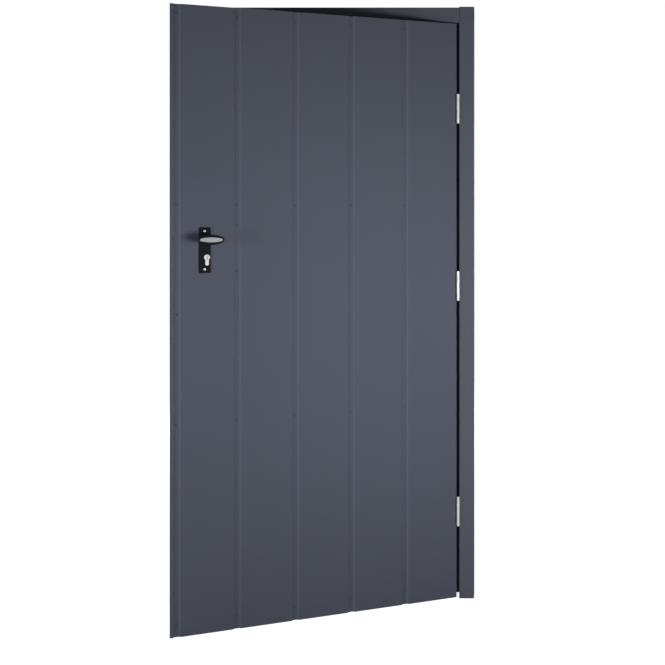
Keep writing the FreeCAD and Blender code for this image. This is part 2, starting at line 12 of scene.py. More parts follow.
import bpy
import numpy as np
from bpy.props import FloatProperty, FloatVectorProperty, IntProperty, PointerProperty
from bpy.types import Operator, Panel, PropertyGroup
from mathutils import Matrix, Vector


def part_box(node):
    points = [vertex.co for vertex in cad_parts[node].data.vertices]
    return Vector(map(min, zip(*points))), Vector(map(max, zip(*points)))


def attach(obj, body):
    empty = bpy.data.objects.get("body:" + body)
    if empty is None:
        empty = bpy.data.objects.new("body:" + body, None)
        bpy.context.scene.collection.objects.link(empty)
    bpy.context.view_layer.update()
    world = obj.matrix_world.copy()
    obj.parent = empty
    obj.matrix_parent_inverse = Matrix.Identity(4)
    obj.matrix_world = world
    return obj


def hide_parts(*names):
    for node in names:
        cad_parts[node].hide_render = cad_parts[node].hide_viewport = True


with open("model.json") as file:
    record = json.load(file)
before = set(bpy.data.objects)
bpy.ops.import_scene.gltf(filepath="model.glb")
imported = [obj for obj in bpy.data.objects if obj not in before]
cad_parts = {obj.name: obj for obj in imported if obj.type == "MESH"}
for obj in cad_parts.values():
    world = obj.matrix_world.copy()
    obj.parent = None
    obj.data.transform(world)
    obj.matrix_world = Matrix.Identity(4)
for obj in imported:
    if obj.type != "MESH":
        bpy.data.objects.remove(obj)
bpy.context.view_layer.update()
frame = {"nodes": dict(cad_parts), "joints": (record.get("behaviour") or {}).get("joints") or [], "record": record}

bl_info = {
    "name": "Steel utility door",
    "version": (1, 0, 0),
    "blender": (4, 5, 0),
    "location": "View3D > Sidebar > Door",
    "description": "Finishes, small fixings and studio for a steel utility door",
    "category": "Object",
}

MM = 0.001

# Camera: the image's side, the pixel it looks straight at, and its place in metres
IMAGE_SIDE = 665
LEVEL_PIXEL = (496.0, 216.1)
CAMERA_PLACE = (0.0733, -2.8454, 1.2813)

# Lamps, in metres: name, place, target, setting of its power, width, height, and spread in degrees
LAMPS = (
    ("right lamp", (1.135, -1.497, 0.95), (-0.85, -0.25, 1.08), "right_power", 0.3, 0.5, 180.0),
    ("latch side lamp", (0.9, -1.9, 0.95), (-1.0, -0.35, 1.08), "latch_power", 0.3, 0.5, 80.0),
    ("left lamp", (-2.284, -1.631, 1.08), (-0.1, -0.05, 1.02), "left_power", 0.2, 0.8, 180.0),
    ("back right lamp", (1.4, 2.6, 1.6), (-0.5, -0.05, 1.0), "back_power", 1.2, 1.6, 180.0),
    ("back left lamp", (-2.6, 2.2, 1.6), (-0.5, -0.05, 1.0), "back_power", 1.2, 1.6, 180.0),
)
FLOOR_RADIUS = 14.0

# Fineness of the coats' orange peel
LEAF_PEEL = 620.0
FRAME_PEEL = 560.0
RIVET_PEEL = 900.0

# Closed leaf, in millimetres
SWING = frame["joints"][0]
AXIS = np.array(SWING["pos_m"]) / MM
AJAR = -math.radians(SWING["range_deg"][0])
LEAF_X = -57.0
FRONT_Y = -25.0
SEAMS = (166.6, 342.2, 517.8, 693.4, 869.0)
CHANNEL_V = 4.1
BEVEL_WIDTH = 5.0
RIVET_SETBACK = 10.25
RAIL_RIVETS = (44.0, 650.0, 1315.0, 1896.0)
STRIP_RIVET = 983.0
LOCK_BOX_RIVETS = (1110.0, 1254.0)

# Weld beads, in millimetres: the corners they lie in, and the way that each rail face looks
STILE_SIDES = (40.9, 857.1)
RAIL_FACES = ((65.0, 1), (630.0, -1), (670.0, 1), (1295.0, -1), (1335.0, 1), (1865.0, -1))
LOCK_BOX_FACES = ((1100.0, -1), (1266.0, 1))
LEAF_WELD_V = (6.0, 39.5)
FRAME_WELD_Y = (-23.5, 19.5)
WELD_RIPPLE = 2.6

# Handle, in millimetres
SPINDLE_U = 790.6
SPINDLE_Z = 1210.0
GRIP_U = 777.6
PLATE_U = 797.5
PLATE_Z = 1177.0
PLATE_FACE = 3.0
CYLINDER_Z = 1155.0
CYLINDER_FACE = 6.0
SEAT_OUTSIDE = 0.0
SEAT_INSIDE = 40.0
GRIP_FRONT = 60.0
GRIP_BACK = 45.0
NECK_RADIUS = 8.5
TIP_SHARE = 0.55

# Hinges and frame, in millimetres
HINGE_RISES = (294.5, 1048.0, 1640.0)
FLAP_FACE = 52.0
FLAP_Y = -24.5
FLAP_U = -2.0
FLAP_V = 0.5
FLAP_SCREWS = ((-39.0, 18.5), (-13.0, 9.0), (13.0, 18.5), (39.0, 9.0))
JAMB_SIDES = (-50.0, -963.0)
HEADER_UNDER = 1931.0
KEEP_X = -961.5
KEEP_Y = -2.5
KEEP_SCREWS_Z = (1119.0, 1247.0)
FOREND_V = 22.5
FOREND_SCREWS_Z = (1092.0, 1274.0)

OUT = np.array([math.sin(AJAR), -math.cos(AJAR), 0.0])
TOWARDS_HINGE = np.array([math.cos(AJAR), math.sin(AJAR), 0.0])
UP = np.array([0.0, 0.0, 1.0])


def leaf_place(u, v, z):
    """Points of the ajar leaf: the closed leaf's place, turned by the ajar angle about the hinge axis."""
    u, v, z = np.broadcast_arrays(np.asarray(u, float), v, z)
    along = LEAF_X - u - AXIS[0]
    across = FRONT_Y + v - AXIS[1]
    x = AXIS[0] + math.cos(AJAR) * along - math.sin(AJAR) * across
    y = AXIS[1] + math.sin(AJAR) * along + math.cos(AJAR) * across
    return np.stack([x, y, z], -1)


# Surfaces

def closed_faces(count, around):
    """Faces of one copy: four-sided ones between each pair of neighbours on each pair of rings, and a fan
    of triangles to each pole, so that the form is closed."""
    ring, step = np.meshgrid(np.arange(count - 1), np.arange(around), indexing="ij")
    here = ring * around + step
    beside = ring * around + (step + 1) % around
    quads = np.stack([here, beside, beside + around, here + around], -1).reshape(-1, 4)
    turn = np.arange(around)
    following = (turn + 1) % around
    base = (count - 1) * around
    first = np.stack([following, turn, np.full(around, count * around)], -1)
    last = np.stack([base + turn, base + following, np.full(around, count * around + 1)], -1)
    return quads, np.concatenate([first, last])


def signed_volume(points, quads, fans):
    """Volume inside each copy, from the tetrahedra between the origin and its triangles; it is negative
    where the faces look inwards."""
    halves = np.concatenate([quads[:, [0, 1, 2]], quads[:, [0, 2, 3]], fans])
    corner = points[:, halves]
    return np.einsum("cti,cti->c", corner[:, :, 0], np.cross(corner[:, :, 1], corner[:, :, 2])) / 6


def add_piece(name, rings, body, material, crease=32.0):
    """One object of closed forms from an array (copy, ring, point, xyz) in millimetres, with the material
    of that name.  The poles of a form are the middles of its first and last ring.  The faces look outwards,
    and edges that turn more than the crease angle stay sharp."""
    copies, count, around = rings.shape[:3]
    poles = rings[:, [0, -1]].mean(2)
    points = np.concatenate([rings.reshape(copies, count * around, 3), poles], 1)
    quads, fans = closed_faces(count, around)
    inside_out = signed_volume(points - points.mean(1, keepdims=True), quads, fans) < 0
    start = (np.arange(copies) * points.shape[1])[:, None, None]
    quads = np.where(inside_out[:, None, None], quads[:, ::-1], quads) + start
    fans = np.where(inside_out[:, None, None], fans[:, ::-1], fans) + start
    mesh = bpy.data.meshes.new(name)
    faces = quads.reshape(-1, 4).tolist() + fans.reshape(-1, 3).tolist()
    mesh.from_pydata((points.reshape(-1, 3) * MM).tolist(), [], faces)
    mesh.polygons.foreach_set("use_smooth", np.ones(len(mesh.polygons), bool))
    mesh.set_sharp_from_angle(angle=math.radians(crease))
    mesh.materials.append(bpy.data.materials[material])
    mesh.validate()
    piece = bpy.data.objects.new(name, mesh)
    bpy.context.scene.collection.objects.link(piece)
    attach(piece, body)
    return piece


def unit(vectors):
    """Vectors of the same directions, one long."""
    return vectors / np.linalg.norm(vectors, axis=-1, keepdims=True)


def carried(outline, height, places, outward, turn=0.0):
    """One form carried to each place.  The form is a stack of outlines (ring, point, 2) at their heights
    along the outward direction, turned about it by an angle for each place."""
    places = np.atleast_2d(np.asarray(places, float))
    outward = np.broadcast_to(np.asarray(outward, float), places.shape)
    helper = np.where(np.abs(outward[:, 2:]) < 0.9, UP, TOWARDS_HINGE)
    side = unit(np.cross(helper, outward))
    rise = np.cross(outward, side)
    turn = np.broadcast_to(turn, len(places))[:, None, None]
    x = np.cos(turn) * outline[..., 0] - np.sin(turn) * outline[..., 1]
    y = np.sin(turn) * outline[..., 0] + np.cos(turn) * outline[..., 1]
    flat = x[..., None] * side[:, None, None] + y[..., None] * rise[:, None, None]
    lift = np.asarray(height, float)[None, :, None, None] * outward[:, None, None]
    return places[:, None, None] + flat + lift


def round_outline(radii, around):
    """Circles: every radius times the cosine and sine of the angle round it."""
    angle = np.linspace(0, 2 * math.pi, around, endpoint=False)
    circle = np.stack([np.cos(angle), np.sin(angle)], -1)
    return np.asarray(radii, float)[:, None, None] * circle


def slot_outline(half_length, half_width, around):
    """Rectangle seen from its middle: the lesser of half length over cosine and half width over sine."""
    angle = np.linspace(0, 2 * math.pi, around, endpoint=False)
    reach_x = half_length / np.maximum(np.abs(np.cos(angle)), 1e-6)
    reach_y = half_width / np.maximum(np.abs(np.sin(angle)), 1e-6)
    reach = np.minimum(reach_x, reach_y)
    return np.stack([reach * np.cos(angle), reach * np.sin(angle)], -1)


def cross_outline(half_length, half_width, around):
    """Cross seen from its middle: the greater reach of two slots at right angles."""
    first = slot_outline(half_length, half_width, around)
    second = slot_outline(half_width, half_length, around)
    longer = np.linalg.norm(first, axis=-1) >= np.linalg.norm(second, axis=-1)
    return np.where(longer[:, None], first, second)


def screw_head(radius, proud, recess):
    """Countersunk screw head: a low dome over a rim sunk in the plate, with a cross recess that narrows
    as it goes down."""
    around = 40
    dome = np.array([1.0, 1.0, 0.97, 0.8, 0.62])
    rim = round_outline(radius * dome, around)
    heights = [-0.4, 0.0, 0.12 * proud, 0.62 * proud, 0.92 * proud]
    crosses = [cross_outline(recess * k, 0.27 * recess * k, around) for k in (1.0, 0.96, 0.6)]
    heights += [proud, proud - 0.15 * recess, proud - 0.75 * recess]
    return np.concatenate([rim, np.stack(crosses)]), heights


def screw_rings(size, places, outward, draw):
    """Screw heads at the places, of one radius, rise and recess, each turned by its own random angle."""
    outline, height = screw_head(*size)
    return carried(outline, height, places, outward, draw.uniform(0, math.pi, len(places)))


def rivet_head(radius, proud):
    """Blind rivet head: a low dome round the hollow that its broken mandrel leaves."""
    radii = radius * np.array([1.0, 1.0, 0.93, 0.72, 0.5, 0.42, 0.36])
    heights = proud * np.array([-0.4, 0.15, 0.5, 0.85, 1.0, 0.9, 0.25])
    return round_outline(radii, 20), heights


def weld_beads(starts, ends, side_a, side_b, leg):
    """Fillet weld beads carried along straight corners.  Each section is an arc between the two sides of
    the corner; its leg swells with the cosine of the length over the ripple, and closes in at both ends."""
    rings, arc = 40, 8
    share = np.linspace(0, 1, rings)
    length = np.linalg.norm(ends - starts, axis=-1)[:, None]
    swell = 1 + 0.09 * np.cos(2 * math.pi * share * length / WELD_RIPPLE)
    ends_in = np.sqrt(np.clip(1 - np.abs(2 * share - 1) ** 12, 0.02, 1))
    size = leg * swell * ends_in
    angle = np.linspace(0, math.pi / 2, arc)
    across = np.append(np.cos(angle), -0.12)
    rise = np.append(np.sin(angle), -0.12)
    bulge = np.append(1 - 0.16 * np.sin(2 * angle), 1.0)
    spine = starts[:, None] + share[None, :, None] * (ends - starts)[:, None]
    section = (across * bulge)[:, None] * side_a[:, None] + (rise * bulge)[:, None] * side_b[:, None]
    return spine[:, :, None] + size[:, :, None, None] * section[:, None]


def oval(half_length, half_height, inset=0.0):
    """Pointed oval of four tangent arcs, by the direction of its normal: a point is its arc's centre plus
    the arc's radius along the normal, and an inset takes the same length off every radius."""
    tip = TIP_SHARE * half_height
    side = (half_height ** 2 + (half_length - tip) ** 2 - tip ** 2) / (2 * (half_height - tip))
    tip_x = half_length - tip
    join = math.atan2(side - half_height, tip_x)
    tip_angles = np.linspace(-join, join, 17)[:-1]
    side_angles = np.linspace(join, math.pi - join, 17)[:-1]
    angle = np.concatenate([tip_angles, side_angles, tip_angles + math.pi, side_angles + math.pi])
    centre_x = np.repeat([tip_x, 0.0, -tip_x, 0.0], 16)
    centre_z = np.repeat([0.0, half_height - side, 0.0, side - half_height], 16)
    radius = np.repeat([tip, side, tip, side], 16) - inset
    return np.stack([centre_x + radius * np.cos(angle), centre_z + radius * np.sin(angle)], -1), angle


def grip_rings(seat, outward, half_length, half_height, pocket):
    """Oval lever grip on its neck, as rings from the front to the root.  The front is an oval pocket and a
    land that falls to rims rounded by a quarter circle; behind, the oval closes in on the round neck."""
    edge, fall = 4.2, 0.3
    if pocket:
        rings = [oval(32.15, 7.65)[0]] * 2
        heights = [GRIP_FRONT - 1.25, GRIP_FRONT - 0.06]
    else:
        rings = [oval(20.0, 6.0)[0]]
        heights = [GRIP_FRONT]
    bends = np.linspace(0, 1, 7) * math.pi / 2
    for bend in bends:
        rings.append(oval(half_length, half_height, edge * (1 - math.sin(bend)))[0])
        heights.append(GRIP_FRONT - fall - (edge - fall) * (1 - math.cos(bend)))
    for bend in bends:
        outline, normal = oval(half_length, half_height, edge * (1 - math.cos(bend)))
        rings.append(outline)
        heights.append(GRIP_BACK + edge * (1 - math.sin(bend)))
    neck_ring = NECK_RADIUS * np.stack([np.cos(normal), np.sin(normal)], -1)
    neck_ring[:, 0] += GRIP_U - SPINDLE_U
    for share in (0.55, 0.8, 0.93, 1.0):
        rings.append(rings[-1] + (neck_ring - rings[-1]) * share)
        heights.append(GRIP_BACK - 3.2 * share ** 3)
    heights += [GRIP_BACK - 6.0, GRIP_BACK - 20.0, 10.0, 1.0]
    outline = np.stack(rings + [neck_ring] * 4)
    v = seat + outward * np.array(heights)[:, None]
    return leaf_place(GRIP_U - outline[..., 0], v, SPINDLE_Z + outline[..., 1])[None]


def inlay_rings():
    """Bare oval badge plate: a flat back, a raised border line and a field that lies a little lower.  The
    innermost outline closes in evenly on the middle."""
    steps = (
        (0.0, 58.85), (0.0, 59.75), (0.3, 59.95), (0.85, 59.95), (1.2, 59.6), (1.8, 59.6), (2.05, 59.78))
    outline = [oval(32.0, 7.5, inset)[0] for inset, _ in steps]
    outline = np.stack(outline + [outline[-1] * share for share in (0.8, 0.5, 0.2)])
    v = -np.array([height for _, height in steps] + [59.79, 59.8, 59.8])[:, None]
    return leaf_place(GRIP_U - outline[..., 0], v, SPINDLE_Z + outline[..., 1])[None]


def ribbed_section():
    """Closed section of a seal strip, as places across it and heights off the stop: three round ribs, from
    the size of a cosine of three half turns, over a flat base."""
    across = np.linspace(-5.0, 5.0, 43)
    rib = 0.7 + 0.8 * np.abs(np.cos(1.5 * math.pi * across / 5.0)) ** 0.8
    top = np.stack([across, rib], -1)
    base = np.array([[5.0, 0.0], [0.0, 0.0], [-5.0, 0.0]])
    return np.concatenate([top, base])


# Materials

def add_node(tree, kind, inputs=(), **settings):
    """New shader node with its settings; each input is joined to a socket or set to a value."""
    made = tree.nodes.new(kind)
    for key, value in settings.items():
        setattr(made, key, value)
    for key, value in dict(inputs).items():
        if isinstance(value, bpy.types.NodeSocket):
            tree.links.new(value, made.inputs[key])
        else:
            made.inputs[key].default_value = value
    return made


def math_node(tree, operation, first, second=0.0):
    """Result of one arithmetic step."""
    return add_node(tree, "ShaderNodeMath", {0: first, 1: second}, operation=operation).outputs[0]


def match_node(tree, first, second):
    """Match between two directions: one where they agree, and none at a right angle."""
    return add_node(tree, "ShaderNodeVectorMath", {0: first, 1: second},
                    operation="DOT_PRODUCT").outputs["Value"]


def swing(tree, value, depth):
    """How far a value stands off one half, times a depth."""
    return math_node(tree, "MULTIPLY", math_node(tree, "SUBTRACT", value, 0.5), depth)


def remap(tree, value, low, high, to_low, to_high):
    """Value moved from one range to another, and held inside it."""
    inputs = {"Value": value, "From Min": low, "From Max": high, "To Min": to_low, "To Max": to_high}
    return add_node(tree, "ShaderNodeMapRange", inputs).outputs["Result"]


def noise(tree, place, scale, detail=2.0, roughness=0.5):
    """Value of a smooth noise, about one half on average."""
    inputs = {"Vector": place, "Scale": scale, "Detail": detail, "Roughness": roughness}
    return add_node(tree, "ShaderNodeTexNoise", inputs).outputs["Fac"]


def stretched(tree, place, scale):
    """Place scaled by a different number along each axis."""
    return add_node(tree, "ShaderNodeMapping", {"Vector": place, "Scale": scale}).outputs["Vector"]


def new_group(name, inputs, outputs):
    """Empty shader node group with named inputs, given with their kinds and defaults, and outputs."""
    tree = bpy.data.node_groups.new(name, "ShaderNodeTree")
    for label, kind, default in inputs:
        socket = tree.interface.new_socket(label, in_out="INPUT", socket_type=f"NodeSocket{kind}")
        if default is not None:
            socket.default_value = default
    for label, kind in outputs:
        tree.interface.new_socket(label, in_out="OUTPUT", socket_type=f"NodeSocket{kind}")
    start = tree.nodes.new("NodeGroupInput")
    end = tree.nodes.new("NodeGroupOutput")
    return tree, start.outputs, end.inputs


def join(tree, pairs):
    """Links each socket to its target."""
    for source, target in pairs:
        tree.links.new(source, target)


def powder_coat_group():
    """Baked powder coat: soft clouds and upright roll marks in its colour, orange peel in its height."""
    tree, given, result = new_group(
        "Powder coat",
        [("Place", "Vector", None), ("Colour", "Color", (0.1, 0.1, 0.12, 1)), ("Clouds", "Float", 0.06),
         ("Roll marks", "Float", 0.03), ("Peel size", "Float", 600.0), ("Smoothest", "Float", 0.4)],
        [("Colour", "Color"), ("Roughness", "Float"), ("Height", "Float")])
    clouds = noise(tree, given["Place"], 1.9, 4.0, 0.55)
    marks = noise(tree, stretched(tree, given["Place"], (34.0, 34.0, 0.5)), 1.0, 3.0)
    peel = noise(tree, given["Place"], given["Peel size"], 1.5)
    grit = noise(tree, given["Place"], 2600.0, 0.0)
    tone = math_node(tree, "ADD", swing(tree, clouds, given["Clouds"]),
                     swing(tree, marks, given["Roll marks"]))
    tone = math_node(tree, "ADD", tone, swing(tree, grit, 0.08))
    tone = math_node(tree, "ADD", math_node(tree, "MULTIPLY", tone, 2.0), 1.0)
    tinted = add_node(tree, "ShaderNodeHueSaturation", {"Value": tone, "Color": given["Colour"]})
    gloss = math_node(tree, "ADD", given["Smoothest"], remap(tree, clouds, 0.3, 0.7, 0.0, 0.12))
    gloss = math_node(tree, "ADD", gloss, remap(tree, grit, 0.3, 0.7, 0.0, 0.06))
    height = math_node(tree, "ADD", peel, math_node(tree, "MULTIPLY", grit, 0.25))
    join(tree, [(tinted.outputs["Color"], result["Colour"]), (gloss, result["Roughness"]),
                (height, result["Height"])])


def edge_mask_group():
    """Mask of the folded edges: one less the match between the surface's normal and its normal with the edges
    rounded, broken up by a noise.  The powder coats use it for a painted highlight, partly a thinner coat."""
    tree, given, result = new_group(
        "Thin edges", [("Place", "Vector", None), ("Width", "Float", 0.001)], [("Mask", "Float")])
    rounded = add_node(tree, "ShaderNodeBevel", {"Radius": given["Width"]}, samples=4)
    surface = add_node(tree, "ShaderNodeNewGeometry")
    match = match_node(tree, rounded.outputs["Normal"], surface.outputs["Normal"])
    edge = remap(tree, match, 0.995, 0.86, 0.0, 1.0)
    patches = remap(tree, noise(tree, given["Place"], 55.0, 3.0), 0.36, 0.6, 0.35, 1.0)
    join(tree, [(math_node(tree, "MULTIPLY", edge, patches), result["Mask"])])


def bevel_highlight_group():
    """Mask of a painted highlight on the surfaces that face one direction, as the plank bevels do: it rises
    with the match between the normal and the direction, and a noise breaks it up a little."""
    tree, given, result = new_group(
        "Pressed bevels", [("Direction", "Vector", None), ("Place", "Vector", None)], [("Mask", "Float")])
    normal = add_node(tree, "ShaderNodeTexCoord").outputs["Normal"]
    highlight_facing = remap(tree, match_node(tree, normal, given["Direction"]), 0.95, 0.995, 0.0, 1.0)
    patches = remap(tree, noise(tree, given["Place"], 6.0, 3.0), 0.3, 0.7, 0.92, 1.0)
    join(tree, [(math_node(tree, "MULTIPLY", highlight_facing, patches), result["Mask"])])


def brushed_grain_group():
    """Fine brushing lines from a noise that is drawn out along one axis, with broad dull patches."""
    tree, given, result = new_group(
        "Brushed grain",
        [("Drawn place", "Vector", None), ("Place", "Vector", None), ("Smoothest", "Float", 0.25),
         ("Depth", "Float", 0.12)],
        [("Shade", "Float"), ("Roughness", "Float"), ("Height", "Float")])
    lines = noise(tree, given["Drawn place"], 1.0, 4.0, 0.65)
    patches = noise(tree, given["Place"], 70.0, 3.0)
    spread = math_node(tree, "MULTIPLY", swing(tree, lines, given["Depth"]), 2.0)
    shade = math_node(tree, "ADD", spread, remap(tree, patches, 0.3, 0.7, 0.94, 1.03))
    rough = math_node(tree, "ADD", given["Smoothest"], remap(tree, patches, 0.3, 0.7, 0.0, 0.14))
    rough = math_node(tree, "ADD", rough, remap(tree, lines, 0.3, 0.7, 0.0, 0.06))
    join(tree, [(shade, result["Shade"]), (rough, result["Roughness"]), (lines, result["Height"])])


def handling_group():
    """Mask of rubbed patches and fine scratches that hands and keys leave."""
    tree, given, result = new_group(
        "Handling marks", [("Place", "Vector", None)], [("Mask", "Float")])
    rubs = remap(tree, noise(tree, given["Place"], 42.0, 3.0), 0.5, 0.68, 0.0, 0.7)
    turned = add_node(tree, "ShaderNodeMapping", {
        "Vector": given["Place"], "Rotation": (0.4, 0.7, 0.5), "Scale": (900.0, 900.0, 45.0)})
    scratches = remap(tree, noise(tree, turned.outputs["Vector"], 1.0, 1.0), 0.68, 0.76, 0.0, 0.6)
    join(tree, [(math_node(tree, "MAXIMUM", rubs, scratches), result["Mask"])])


def blank_material(name):
    """New material: its tree, its principled shader and the Object place of the piece."""
    material = bpy.data.materials.new(name)
    material.use_nodes = True
    tree = material.node_tree
    shader = tree.nodes["Principled BSDF"]
    return tree, shader, add_node(tree, "ShaderNodeTexCoord").outputs["Object"]


def use_group(tree, group, inputs):
    """Outputs of a node group placed in a material with its own values."""
    return add_node(tree, "ShaderNodeGroup", inputs, node_tree=bpy.data.node_groups[group]).outputs


def mix_colour(tree, share, first, second):
    """Colour between two, by a share from 0 to 1."""
    mixed = add_node(tree, "ShaderNodeMix", {0: share, 6: first, 7: second}, data_type="RGBA")
    return mixed.outputs[2]


def bump(tree, height, distance, strength):
    """Normal bent by a height."""
    inputs = {"Height": height, "Distance": distance, "Strength": strength}
    return add_node(tree, "ShaderNodeBump", inputs).outputs["Normal"]


def solid(colour, factor=1.0):
    """Colour times a factor, with full cover."""
    return (*(part * factor for part in colour), 1.0)


def dress(tree, shader, colour, rough, normal, specular=0.5):
    """Feeds the shader's colour, roughness and normal, and sets how strongly it reflects."""
    join(tree, [(colour, shader.inputs["Base Color"]), (rough, shader.inputs["Roughness"]),
                (normal, shader.inputs["Normal"])])
    shader.inputs["Specular IOR Level"].default_value = specular


def coat_material(name, colour, finish, peel_size, specular, highlight_facing=None):
    """Satin powder coat with orange peel, paler and smoother along its folded edges, a painted highlight that
    is partly a thinner coat.  Where a direction is given, the surfaces that face it carry the same painted
    highlight."""
    tree, shader, place = blank_material(name)
    coat = use_group(tree, "Powder coat", {
        "Place": place, "Colour": solid(colour), "Clouds": finish.coat_clouds, "Peel size": peel_size,
        "Smoothest": finish.coat_roughness})
    edges = use_group(tree, "Thin edges", {"Place": place, "Width": 0.0012})["Mask"]
    if highlight_facing is not None:
        bevels = use_group(tree, "Pressed bevels", {"Direction": tuple(highlight_facing), "Place": place})["Mask"]
        edges = math_node(tree, "MAXIMUM", edges, math_node(tree, "MULTIPLY", bevels, finish.bevel_highlight_share))
    # Painted highlight: the edges, and the facing bevels where a direction is given, are mixed towards the colour
    # 2.2 times paler; at the edges this is partly a thinner coat.
    tone = mix_colour(tree, edges, coat["Colour"], solid(colour, 2.2))
    rough = math_node(tree, "SUBTRACT", coat["Roughness"], math_node(tree, "MULTIPLY", edges, 0.1))
    dress(tree, shader, tone, rough, bump(tree, coat["Height"], 0.00012, 0.25), specular)


def metal_material(name, colour, drawn, smoothest, depth):
    """Brushed bare or plated metal, with its lines drawn out along the axis of the least scale."""
    tree, shader, place = blank_material(name)
    grain = use_group(tree, "Brushed grain", {
        "Drawn place": stretched(tree, place, drawn), "Place": place, "Smoothest": smoothest,
        "Depth": depth})
    marks = use_group(tree, "Handling marks", {"Place": place})["Mask"]
    tinted = add_node(tree, "ShaderNodeHueSaturation", {"Value": grain["Shade"], "Color": solid(colour)})
    dulled = math_node(tree, "MULTIPLY", marks, 0.5)
    tone = mix_colour(tree, dulled, tinted.outputs["Color"], solid(colour, 0.8))
    rough = math_node(tree, "ADD", grain["Roughness"], math_node(tree, "MULTIPLY", marks, 0.12))
    dress(tree, shader, tone, rough, bump(tree, grain["Height"], 0.00003, 0.3))
    shader.inputs["Metallic"].default_value = 1.0


def black_material(name, colour, finish):
    """Satin black lacquer: fine peel, and rubbed edges and patches that are a little paler."""
    tree, shader, place = blank_material(name)
    coat = use_group(tree, "Powder coat", {
        "Place": place, "Colour": solid(colour), "Clouds": 0.2, "Roll marks": 0.0, "Peel size": 1500.0,
        "Smoothest": finish.black_roughness})
    edges = use_group(tree, "Thin edges", {"Place": place, "Width": 0.0008})["Mask"]
    marks = use_group(tree, "Handling marks", {"Place": place})["Mask"]
    worn = math_node(tree, "MAXIMUM", math_node(tree, "MULTIPLY", edges, 0.6),
                     math_node(tree, "MULTIPLY", marks, 0.25))
    tone = mix_colour(tree, worn, coat["Colour"], solid(colour, 2.4))
    rough = math_node(tree, "SUBTRACT", coat["Roughness"], math_node(tree, "MULTIPLY", worn, 0.12))
    dress(tree, shader, tone, rough, bump(tree, coat["Height"], 0.00006, 0.3), 0.08)


def rubber_material(name, colour):
    """Matt rubber with a faint grey bloom and the fine lines of its extrusion."""
    tree, shader, place = blank_material(name)
    bloom = remap(tree, noise(tree, place, 24.0, 4.0), 0.4, 0.72, 0.0, 0.5)
    lines = noise(tree, stretched(tree, place, (1600.0, 1600.0, 12.0)), 1.0, 2.0)
    rough = remap(tree, bloom, 0.0, 0.5, 0.68, 0.86)
    tone = mix_colour(tree, bloom, solid(colour), solid(colour, 3.0))
    dress(tree, shader, tone, rough, bump(tree, lines, 0.0001, 0.35), 0.25)


def shade_steel_material(name, colour):
    """Dark steel that paints the shade in the gap round the cylinder plug and deep in its keyway, with dull and
    damp patches.
    """
    tree, shader, place = blank_material(name)
    patches = noise(tree, place, 800.0, 2.0)
    rough = remap(tree, patches, 0.35, 0.65, 0.45, 0.8)
    damp = remap(tree, patches, 0.5, 0.75, 0.0, 0.6)
    tone = mix_colour(tree, damp, solid(colour), solid(colour, 1.8))
    dress(tree, shader, tone, rough, bump(tree, patches, 0.00005, 0.3), 0.1)


def finish_solids(slot, material, start=""):
    """Gives the named material to every solid whose record names the slot and whose name has the start."""
    for part in frame["record"]["subparts"]:
        if part["material_slot"] != slot or not part["node"].startswith(start):
            continue
        node = frame["nodes"][part["node"]]
        if not node.material_slots:
            raise RuntimeError(f"{node.name} has no material slot")
        for place in node.material_slots:
            place.material = bpy.data.materials[material]


# Settings

class DoorFinishes(PropertyGroup):
    """Colours and gloss of the door's finishes."""
    leaf_colour: FloatVectorProperty(
        name="Leaf coat", description="Powder coat on the leaf", subtype="COLOR",
        min=0.0, max=1.0, default=(0.080, 0.0887, 0.117))
    frame_colour: FloatVectorProperty(
        name="Frame coat", description="Powder coat on the frame", subtype="COLOR",
        min=0.0, max=1.0, default=(0.094, 0.104, 0.134))
    zinc_colour: FloatVectorProperty(
        name="Hinge zinc", description="Zinc plating on hinges and their screws", subtype="COLOR",
        min=0.0, max=1.0, default=(0.47, 0.475, 0.485))
    nickel_colour: FloatVectorProperty(
        name="Lock nickel", description="Nickel plating on the lock and its cylinder", subtype="COLOR",
        min=0.0, max=1.0, default=(0.6, 0.6, 0.6))
    black_colour: FloatVectorProperty(
        name="Handle black", description="Lacquer on levers and plates", subtype="COLOR",
        min=0.0, max=1.0, default=(0.0038, 0.004, 0.009))
    inlay_colour: FloatVectorProperty(
        name="Inlay silver", description="Bare plate on the outside lever", subtype="COLOR",
        min=0.0, max=1.0, default=(0.27, 0.273, 0.285))
    # Colour of the rivet heads, and also of the dark steel that paints the shade round the plug and in the keyway
    rivet_and_shade_colour: FloatVectorProperty(
        name="Rivet heads", description="Dark heads of the blind rivets", subtype="COLOR",
        min=0.0, max=1.0, default=(0.03, 0.032, 0.04))
    rubber_colour: FloatVectorProperty(
        name="Seal rubber", description="Rubber of the seals", subtype="COLOR",
        min=0.0, max=1.0, default=(0.012, 0.012, 0.013))
    coat_roughness: FloatProperty(
        name="Coat roughness", description="Roughness of the coat where it is smoothest",
        subtype="FACTOR", min=0.05, max=1.0, default=0.56)
    coat_clouds: FloatProperty(
        name="Coat clouds", description="How far soft clouds change the coat's tone",
        subtype="FACTOR", min=0.0, max=1.0, default=0.09)
    coat_specular: FloatProperty(
        name="Coat reflection", description="Strength of the coat's reflection",
        subtype="FACTOR", min=0.0, max=1.0, default=0.1)
    # Share of the painted highlight on the plank bevels, which makes them paler and smoother
    bevel_highlight_share: FloatProperty(
        name="Bevel highlight", description="How far the pressed bevels of the planks are paler and smoother",
        subtype="FACTOR", min=0.0, max=1.0, default=0.62)
    black_roughness: FloatProperty(
        name="Handle roughness", description="Roughness of the black lacquer where it is smoothest",
        subtype="FACTOR", min=0.05, max=1.0, default=0.34)


